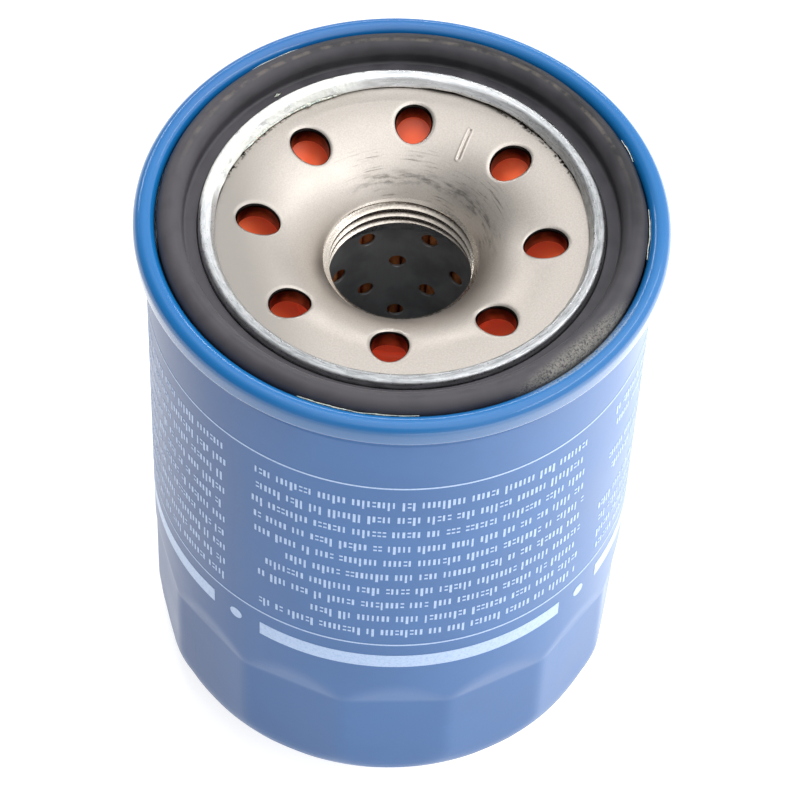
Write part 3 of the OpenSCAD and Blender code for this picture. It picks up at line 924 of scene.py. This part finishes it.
def add_gasket():
    """Moulded ring: flat web, fillet and round bead, with a parting line on the bead's inner side."""
    low = levels("gasket")[0]
    inner_r = BEAD_R + 0.75 + SHEET_T / 2 + 0.1
    web_z = low + 1.9
    web_r = GASKET_R - 2 * GASKET_BEAD_R
    centre = (GASKET_R - GASKET_BEAD_R, GASKET_BEAD_Z)
    profile = rounded([(inner_r + 0.3, low), (GASKET_R, low, 0.2), (GASKET_R, GASKET_BEAD_Z - 0.4)])
    profile += arc(centre, GASKET_BEAD_R, 0, 172, 40)
    profile += [(web_r - 0.03, centre[1] - 0.05), (web_r + 0.01, centre[1] - 0.2)]
    profile += arc((web_r - 0.4, web_z + 0.4), 0.4, 0, -90, 8)
    profile += spaced([(web_r - 0.5, web_z), (inner_r + 0.35, web_z)], 0.3)
    profile += rounded([(inner_r + 0.3, web_z), (inner_r, web_z, 0.2), (inner_r, low, 0.2),
                        (inner_r + 0.3, low)])

    def warp(r, z, angle, _row):
        around = Vector((cos(angle) * 3, sin(angle) * 3, z * 0.4))
        lift = 0.05 * noise(around * 2.0) if z > low + 1 else 0.0
        pull = 0.04 * noise(around + Vector((9, 0, 0)))
        return min(r + pull, GASKET_R), min(z + lift, HEIGHT)

    turned(profile[:-1], 288, "gasket_ring", "gasket_rubber", "housing", "gasket_rubber", "gasket", warp=warp)


def add_seam_compound():
    """Compound inside the seam's hook, and the lumpy beads of it squeezed out beside the gasket."""
    fill_r = HOOK_R - SHEET_T / 2 - 0.05
    hook_r = SEAM_R - HOOK_R
    low, high = levels("seam_compound")
    profile = arc((hook_r, HOOK_Z), fill_r, 180, 360, 12)
    profile += rounded([(hook_r + fill_r, high - 0.3), (hook_r + fill_r, high, 0.1),
                        (hook_r - fill_r, high, 0.1), (hook_r - fill_r, high - 0.3)])[1:-1]
    shell = Shell()
    shell.spin(profile, 192)
    beside_seam = (GASKET_R + 0.16, SEAM_ARC_Z + 0.55)
    beside_plate = (BEAD_R - 1.15, PLATE_Z + 0.12)
    on_web = (BEAD_R + 2.0, levels("gasket")[0] + 1.95)
    # first and last direction of each bead in degrees, its thickness, and the radius and height it lies at
    beads = ((-9, 6, 0.10, beside_seam), (21, 28, 0.09, beside_seam),
             (-112, -84, 0.08, beside_seam), (118, 131, 0.08, beside_seam), (112, 151, 0.22, beside_plate),
             (118, 126, 0.30, beside_plate), (128.5, 130.5, 0.30, on_web))
    for first, last, size, (at_r, at_z) in beads:
        count = max(8, round(radians(last - first) * SEAM_R / 0.28))
        path, radii = [], []
        for i in range(count + 1):
            a = radians(first + (last - first) * i / count)
            lump = 0.7 + 0.9 * noise(Vector((a * 22, size * 40, 0))) + 0.5 * noise(Vector((a * 70, 3, 0)))
            ends = min(1.0, i / 5, (count - i) / 5)
            radius = max(0.05, size * max(0.25, lump) * ends)
            r = at_r + 0.12 * noise(Vector((a * 15, 0, 5)))
            path.append(spot(r, a, at_z + 0.5 * radius))
            radii.append(radius)
        shell.tube(path, radii, sides=10, flat=0.8)
    install(shell, "seam_compound_beads", "sealant", "housing", "sealant", "seam_compound", smooth_below=60)


# ---- threaded plate

MINOR_R = 9.19
COLLAR_R = 12.3
THREAD_PITCH = 1.5
STEP_R = 23.9
INLETS = 8
INLET_R = 2.25
INLET_LONGER = 0.4
INLET_AT_R = 18.3
INLET_ANGLE = radians(-2.5)
INLET_ROLL = 0.75
PLATE_COLUMNS = 256
BAND_IN_R, BAND_OUT_R = 12.6, 23.4


def plate_top(r, bend_r=FUNNEL_R):
    """Height of the plate's upper face."""
    inward = max(0.0, FUNNEL_AT_R - r)
    return FUNNEL_Z + sqrt(bend_r ** 2 - inward ** 2)


def plate_under(r):
    """Height of the plate's lower face."""
    return plate_top(r, UNDER_R)


def sector_outline(angle, half, per_side):
    """Points round a sector of the plate between its inner and outer band, in plan."""
    first, last = angle - half, angle + half
    corners = [(BAND_OUT_R, first), (BAND_OUT_R, last), (BAND_IN_R, last), (BAND_IN_R, first)]
    points = []
    for a, b in zip(corners, corners[1:] + corners[:1]):
        for i in range(per_side):
            r = a[0] + (b[0] - a[0]) * i / per_side
            turn = a[1] + (b[1] - a[1]) * i / per_side
            points.append(Vector((r * cos(turn), r * sin(turn))))
    return points


def add_inlet_sector(shell, angle):
    """One sector of the plate with its punched oil hole: face, rolled edge, wall and underside."""
    outline = sector_outline(angle, pi / INLETS, PLATE_COLUMNS // INLETS)
    centre = Vector((INLET_AT_R * cos(angle), INLET_AT_R * sin(angle)))
    headings = [(p - centre).normalized() for p in outline]
    outward = centre.normalized()
    roll_steps, face_steps, under_chamfer = 10, 14, 0.12
    roll_end = INLET_R + INLET_ROLL

    def oval(heading, r):
        """A point of the hole's outline, which is a little longer toward the axis than across."""
        return centre + heading * r + outward * (heading.dot(outward) * INLET_LONGER)

    def loop(place, level):
        ring = []
        for p, heading in zip(outline, headings):
            plan = place(p, heading)
            ring.append((plan.x, plan.y, level(plan.length)))
        return ring

    loops = []
    for i in range(face_steps, 0, -1):
        share = i / face_steps
        loops.append(loop(lambda p, h: oval(h, roll_end).lerp(p, share), plate_top))
    for i in range(roll_steps + 1):
        a = radians(90 * i / roll_steps)
        out = INLET_R + INLET_ROLL * (1 - sin(a))
        drop = INLET_ROLL * (1 - cos(a))
        loops.append(loop(lambda p, h: oval(h, out), lambda r: plate_top(r) - drop))
    loops.append(loop(lambda p, h: oval(h, INLET_R), lambda r: plate_under(r) + under_chamfer))
    for i in range(7):
        share = i / 6
        loops.append(loop(lambda p, h: oval(h, INLET_R + under_chamfer).lerp(p, share), plate_under))
    # The hole's wall rows take the second material, which paints shade on the wall.
    wall = range(face_steps + roll_steps // 2, face_steps + roll_steps + 2)
    shell.skin(loops, finish=lambda row: 1 if row in wall else 0)


def thread_radius(phase):
    """Radius of the thread at a phase from 0 to 1 along one pitch, with the groove in the middle."""
    root_half, flank = THREAD_PITCH / 16, radians(30)
    from_root = abs(phase - 0.5) * THREAD_PITCH - root_half
    return LIP_R - min(max(from_root / tan(flank), 0.0), LIP_R - MINOR_R)


def add_thread(shell, start):
    """The right-handed internal thread, cut off by a chamfer at each end."""
    half = [0.0, 0.05, 0.11, 0.125, 0.14, 0.2, 0.28, 0.36, 0.42, 0.4375, 0.45]
    phases = half + [0.5] + [1 - p for p in half[:0:-1]]
    turns = ceil((LIP_Z - COLLAR_Z) / THREAD_PITCH) + 1
    rows = [(turn, phase) for turn in range(-1, turns) for phase in phases]
    loops = []
    for turn, phase in rows:
        strip = []
        for i in range(PLATE_COLUMNS + 1):
            a = start + 2 * pi * i / PLATE_COLUMNS
            z = COLLAR_Z + THREAD_PITCH * (turn + phase + i / PLATE_COLUMNS)
            z = min(max(z, COLLAR_Z), LIP_Z)
            r = max(thread_radius(phase), LIP_R - (LIP_Z - z), LIP_R - (z - COLLAR_Z))
            strip.append(spot(r, a, z))
        loops.append(strip)
    shell.skin(loops, closed=False, finish=lambda row: 2)


STAMP_FROM = Vector((8.1, 17.1))
STAMP_TO = Vector((6.73, 13.38))
STAMP_HALF_W = 0.24
STAMP_DEPTH = 0.13


def stamp_distance(x, y):
    """Distance in plan from the middle of the punched stroke, in millimetres."""
    along = STAMP_TO - STAMP_FROM
    point = Vector((x, y)) - STAMP_FROM
    share = max(0.0, min(1.0, point.dot(along) / along.length_squared))
    return (point - along * share).length


def stamp_plate(work):
    """Punches one plain stroke into the plate's face, on a finer patch of mesh."""
    def near(vert, reach):
        x, y, z = (c / MM for c in vert.co)
        return stamp_distance(x, y) < reach and z > plate_under(hypot(x, y)) + 1

    edges = [e for e in work.edges if all(near(v, 1.3) for v in e.verts)]
    bmesh.ops.subdivide_edges(work, edges=edges, cuts=5, use_grid_fill=True)
    for vert in work.verts:
        if near(vert, 1.0):
            x, y = vert.co.x / MM, vert.co.y / MM
            off = stamp_distance(x, y)
            wall = max(0.0, min(1.0, (STAMP_HALF_W - off) / 0.18))
            rim = 0.04 * exp(-((off - STAMP_HALF_W - 0.10) / 0.10) ** 2)
            deep = STAMP_DEPTH * wall * wall * (3 - 2 * wall)
            vert.co.z = (plate_top(hypot(x, y)) - deep + rim) * MM


def add_base_plate():
    """Thick pressed plate: funnel, collar with its thread, eight inlet holes, step and flange."""
    start = INLET_ANGLE - pi / INLETS
    plate_r = outer_radius("base_plate")
    flange_z = PLATE_Z - 1.8
    shell = Shell()
    for i in range(INLETS):
        add_inlet_sector(shell, INLET_ANGLE + 2 * pi * i / INLETS)
    inner_steps = 16
    funnel = [BAND_IN_R + (LIP_R - BAND_IN_R) * i / inner_steps for i in range(inner_steps + 1)]
    shell.spin([(r, plate_top(r)) for r in funnel], PLATE_COLUMNS, start, closed=False)
    add_thread(shell, start)
    collar = rounded([(LIP_R, COLLAR_Z), (COLLAR_R, COLLAR_Z, 0.3), (COLLAR_R, plate_under(COLLAR_R))])
    collar = spaced(collar, 0.8) + [(BAND_IN_R, plate_under(BAND_IN_R))]
    shell.spin(collar, PLATE_COLUMNS, start, closed=False)
    rim = rounded([(BAND_OUT_R, PLATE_Z), (STEP_R, PLATE_Z, 0.45), (STEP_R + 1, flange_z, 0.6),
                   (plate_r, flange_z, 0.3), (plate_r, flange_z - PLATE_T, 0.3),
                   (STEP_R + 0.6, flange_z - PLATE_T, 0.5), (STEP_R - 0.4, PLATE_Z - PLATE_T, 0.1),
                   (BAND_OUT_R, PLATE_Z - PLATE_T)])
    shell.spin(rim, PLATE_COLUMNS, start, closed=False)
    install(shell, "threaded_plate", "plate_steel burnished_steel thread_steel", "housing", "plate_steel",
            "base_plate", smooth_below=32, refine=stamp_plate)


# ---- anti-drain valve

def add_anti_drain_valve():
    """Silicone hub and thin cone flap, with a sealing lip at its edge."""
    low, high = levels("anti_drain_valve")
    hub_in_r, hub_r, lip_r = COLLAR_R + 0.05, 14.4, outer_radius("anti_drain_valve")
    hub_top = low + 4.1
    lip_w, lip_t = 0.8, 0.5
    profile = rounded([
        (hub_in_r, low + 0.01, 0.2), (hub_r, low + 0.01, 0.3), (hub_r, low + 1.7, 0.6),
        (lip_r, high - lip_t, 0.15), (lip_r, high, 0.12), (lip_r - lip_w, high, 0.2),
        (hub_r - 0.5, low + 3.3, 0.6), (hub_r - 0.5, hub_top, 0.25), (hub_in_r, hub_top, 0.2),
        (hub_in_r, low + 2)], closed=True)
    bodies = ("housing", "anti_drain_flap", low + 3.2, high - 0.1)
    turned(spaced(profile, 0.7), 192, "anti_drain_flap_valve", "silicone", bodies, "valve_silicone",
           "anti_drain_valve", smooth_below=50)


# ---- filter element

def add_end_caps():
    """Tinplate end caps with a rolled rib and a turned-down rim."""
    cap_t, bend, rib_w = 0.4, 0.3, 1.2
    cap_r = outer_radius("upper_end_cap") - cap_t / 2
    neck_r = TUBE_R - TUBE_T - 0.05 - cap_t / 2
    top, base = CAP_TOP_Z - cap_t / 2, ELEMENT_Z + cap_t / 2
    upper = ("upper", top, 20.0, -0.35, CAP_TOP_Z - 3.2, [(neck_r, CAP_TOP_Z - 2.1), (neck_r, top, bend)])
    lower = ("lower", base, 22.5, 0.35, ELEMENT_Z + 3.2, [(6.5, base)])
    for half, z, rib_r, rib_h, rim_z, hub in (upper, lower):
        path = rounded(hub + [(rib_r - 2 * rib_w, z, 0.6), (rib_r - rib_w, z + rib_h, 0.6),
                              (rib_r + rib_w, z + rib_h, 0.6), (rib_r + 2 * rib_w, z, 0.6), (cap_r, z, bend),
                              (cap_r, rim_z)])
        turned(sheet_outline(path, cap_t), 192, half + "_cap", "tinplate", "element", "tinplate",
               half + "_end_cap")


def add_potting():
    """Adhesive in both end caps, drawn up round the pleats and the walls."""
    for node, open_up in (("upper_potting", False), ("lower_potting", True)):
        low, high = levels(node)
        inner_r, outer_r = TUBE_R + 0.05, outer_radius(node)
        middle = (inner_r + outer_r) / 2
        dip = 0.35
        face = [(inner_r + (outer_r - inner_r) * i / 24) for i in range(25)]
        half = (outer_r - inner_r) / 2
        sag = [(r, dip * (1 - ((r - middle) / half) ** 6)) for r in face]
        if open_up:
            profile = [(outer_r, low), (inner_r, low)] + [(r, high - s) for r, s in sag]
        else:
            profile = [(inner_r, high), (outer_r, high)] + [(r, low + s) for r, s in sag[::-1]]

        def warp(r, z, angle, _row, free=(high if open_up else low)):
            ripple = 0.12 * sin(48 * angle) if inner_r + 1 < r < outer_r - 0.5 else 0.0
            near_face = abs(z - free) < 0.6
            return r, z + (ripple if near_face else 0.0)

        turned(profile, 384, node.replace("potting", "adhesive"), "potting", "element", "potting", node,
               warp=warp)


PLEATS = 48
PAPER_T = 0.42


def add_media():
    """Pleated paper: round folds outside and inside, and walls that wander a little along their height."""
    outer_r, inner_r = outer_radius("filter_media"), 13.0
    out_r, in_r, rows = 0.50, 0.60, 14
    ridge = (outer_r - PAPER_T / 2 - out_r, out_r, 1, 20)
    valley = (inner_r + PAPER_T / 2 + in_r, in_r, -1, 30)

    def fold(axis, centre, radius, way, gap):
        """Middle line of one fold, with a point every gap degrees."""
        points = []
        for a in map(radians, range(-90, 91, gap)):
            out, side = centre + way * radius * cos(a), radius * sin(a)
            points.append(Vector((out * cos(axis) - side * sin(axis),
                                  out * sin(axis) + side * cos(axis))))
        return points

    folds = [fold(i * pi / PLEATS, *(valley if i % 2 else ridge)) for i in range(2 * PLEATS)]
    middle = []
    for here, there in zip(folds, folds[1:] + folds[:1]):
        middle += here + [here[-1].lerp(there[0], share) for share in (0.2, 0.4, 0.6, 0.8)]

    def side(distance):
        loop = []
        for before, point, after in zip(middle[-1:] + middle[:-1], middle, middle[1:] + middle[:1]):
            ahead = (after - before).normalized()
            loop.append(point + Vector((ahead.y, -ahead.x)) * distance)
        return loop

    def level(loop, z):
        ring = []
        for p in loop:
            r = p.length
            free = sin(pi * (r - inner_r) / (outer_r - inner_r))
            share = (z - MEDIA_Z) / (MEDIA_TOP_Z - MEDIA_Z)
            drift = noise(Vector((p.x * 0.12, p.y * 0.12, z * 0.09)))
            sway = 0.13 * free * sin(pi * share) * drift * 2
            ring.append(spot(r, atan2(p.y, p.x) + sway / r, z))
        return ring

    heights = [MEDIA_Z + (MEDIA_TOP_Z - MEDIA_Z) * i / rows for i in range(rows + 1)]
    outside, inside = side(PAPER_T / 2), side(-PAPER_T / 2)
    loops = [level(outside, z) for z in heights] + [level(inside, z) for z in reversed(heights)]
    shell = Shell()
    shell.skin(loops + loops[:1])
    install(shell, "pleated_paper", "paper", "element", "media_paper", "filter_media", smooth_below=70)


def add_centre_tube():
    """Perforated tube: rows of punched holes, every other row turned by half a pitch."""
    holes, hole_r, rows, row_pitch, soft = 9, 1.15, 10, 5.2, 0.08
    steps_across, steps_up = 16, 10
    first_angle = radians(92.3)
    top_row_z = CAP_TOP_Z - 4.1
    inside_r = TUBE_R - TUBE_T
    step = 2 * pi / holes
    half_w, half_h = step / 2 * TUBE_R, row_pitch / 2
    corners = [(half_w, half_h), (-half_w, half_h), (-half_w, -half_h), (half_w, -half_h)]
    outline = []
    for a, b in zip(corners, corners[1:] + corners[:1]):
        count = steps_across if a[1] == b[1] else steps_up
        outline += [Vector(a).lerp(Vector(b), i / count) for i in range(count)]
    # each loop of a cell: how far it lies from the hole (0) to the cell's edge (1), its radius and the hole's
    shares = (1.0, 0.6, 0.3, 0.12, 0)
    section = [(share, TUBE_R, hole_r + soft) for share in shares]
    section += [(0, TUBE_R - soft, hole_r), (0, inside_r + soft, hole_r)]
    section += [(share, inside_r, hole_r + soft) for share in shares[::-1]]
    shell = Shell()
    for row in range(rows):
        z = top_row_z - row * row_pitch
        for i in range(holes):
            turn = first_angle + (i + (row + 1) % 2 / 2) * step
            loops = []
            for share, r, edge_r in section:
                plans = [(p.normalized() * edge_r).lerp(p, share) for p in outline]
                loops.append([spot(r, turn + plan.x / TUBE_R, z + plan.y) for plan in plans])
            shell.skin(loops)
    for edge, end in ((top_row_z + half_h, TUBE_TOP_Z), (top_row_z - (rows - 0.5) * row_pitch, TUBE_Z)):
        bevel = soft if end > edge else -soft
        strip = [(TUBE_R, edge), (TUBE_R, end - bevel), (TUBE_R - soft, end), (inside_r + soft, end),
                 (inside_r, end - bevel), (inside_r, edge)]
        shell.spin(strip, steps_across * holes, first_angle, closed=False)
    install(shell, "perforated_tube", "tube_steel", "element", "tube_steel", "centre_tube")


# ---- relief valve

def add_relief_valve():
    """Port ring with its raised seat, rubber seal, and the disc and stem turned in one piece."""
    def add_turned(name, finish, body, corners, columns=128, closed=True):
        node = name.replace("relief", "relief_valve")
        turned(rounded(corners, closed), columns, name, finish, body, finish, node, closed=closed)

    low = levels("relief_valve_seat")[0]
    port_r, seat_r = 4.6, outer_radius("relief_valve_seat")
    add_turned("relief_seat", "tinplate", "element", [
        (port_r, low, 0.1), (seat_r, low, 0.1), (seat_r, low + 0.55, 0.1), (port_r + 1.2, low + 0.55, 0.1),
        (port_r + 0.6, low + 0.8, 0.12), (port_r, low + 0.8, 0.15)])
    low, high = levels("relief_valve_seal")
    inner_r, outer_r = 3.0, outer_radius("relief_valve_seal")
    add_turned("relief_seal", "valve_rubber", "relief_valve", [
        (inner_r, low, 0.15), (outer_r, low, 0.3), (outer_r, high, 0.15), (inner_r, high, 0.15),
        (inner_r, (low + high) / 2)])
    low, high = levels("relief_valve_disc")
    disc_r, stem_r, spigot_r, disc_z, disc_t = outer_radius("relief_valve_disc"), 1.6, 2.95, low + 0.9, 0.7
    add_turned("relief_disc", "tinplate", "relief_valve", [
        (0, low), (spigot_r, low, 0.15), (spigot_r, disc_z, 0.05), (disc_r, disc_z, 0.12),
        (disc_r, disc_z + disc_t, 0.2), (stem_r, disc_z + disc_t, 0.4), (stem_r, high, 0.35), (0, high)],
        columns=96, closed=False)


def add_spring(name, node, wire_r, low_r, high_r, turns, per_turn, sides, bodies, upward=True):
    """Compression spring whose end turns lie level, set between the first body and the second."""
    dead = 0.75
    low, high = levels(node)
    low_z, high_z = low + wire_r, high - wire_r
    count = round(turns * per_turn)
    path = []
    for i in range(count + 1):
        turn = turns * i / count
        rise = min(1.0, max(0.0, (turn - dead) / (turns - 2 * dead)))
        r = low_r + (high_r - low_r) * rise
        path.append(spot(r, 2 * pi * turn, low_z + (high_z - low_z) * rise))
    shell = Shell()
    shell.tube(path, [wire_r] * len(path), sides=sides)
    ends = (low + 2 * wire_r, high - 2 * wire_r)
    install(shell, name, "spring_steel", (*bodies, *(ends if upward else ends[::-1])), "spring_steel", node,
            smooth_below=50)


def add_spring_seat():
    """Pressed ring that centres the support spring under the element."""
    low, high = levels("spring_seat")
    seat_t, bend = 0.5, 0.5
    inner_r, outer_r = 12.9, outer_radius("spring_seat")
    middle = high - seat_t / 2
    path = rounded([(inner_r, low), (inner_r, middle, bend), (outer_r, middle)])
    turned(sheet_outline(spaced(path, 0.8), seat_t), 160, "spring_cup", "tinplate", "element", "tinplate",
           "spring_seat")


def finish_cad_nodes():
    """CAD pieces that keep their own shape get their finish and softened edges."""
    for node in ("relief_valve_cage", "media_clip"):
        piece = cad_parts[node]
        piece.data.materials.clear()
        piece.data.materials.append(FINISHES["tinplate"])
        soften = piece.modifiers.new("soft_edges", "BEVEL")
        soften.width = 0.06 * MM
        soften.segments = 2
        soften.limit_method = "ANGLE"
        soften.angle_limit = radians(50)
        soften.harden_normals = False


add_studio()
add_can()
add_print()
add_lid()
add_gasket()
add_seam_compound()
add_base_plate()
add_anti_drain_valve()
add_end_caps()
add_potting()
add_media()
add_centre_tube()
add_relief_valve()
add_spring("coil_spring", "support_spring", wire_r=1.0, low_r=19.5, high_r=14.6, turns=4.5, per_turn=56,
           sides=18, bodies=("housing", "element"))
add_spring("relief_spring", "relief_valve_spring", wire_r=0.4, low_r=4.6, high_r=4.6, turns=5.5, per_turn=48,
           sides=14, bodies=("element", "relief_valve"), upward=False)
add_spring_seat()
finish_cad_nodes()

bpy.context.view_layer.update()
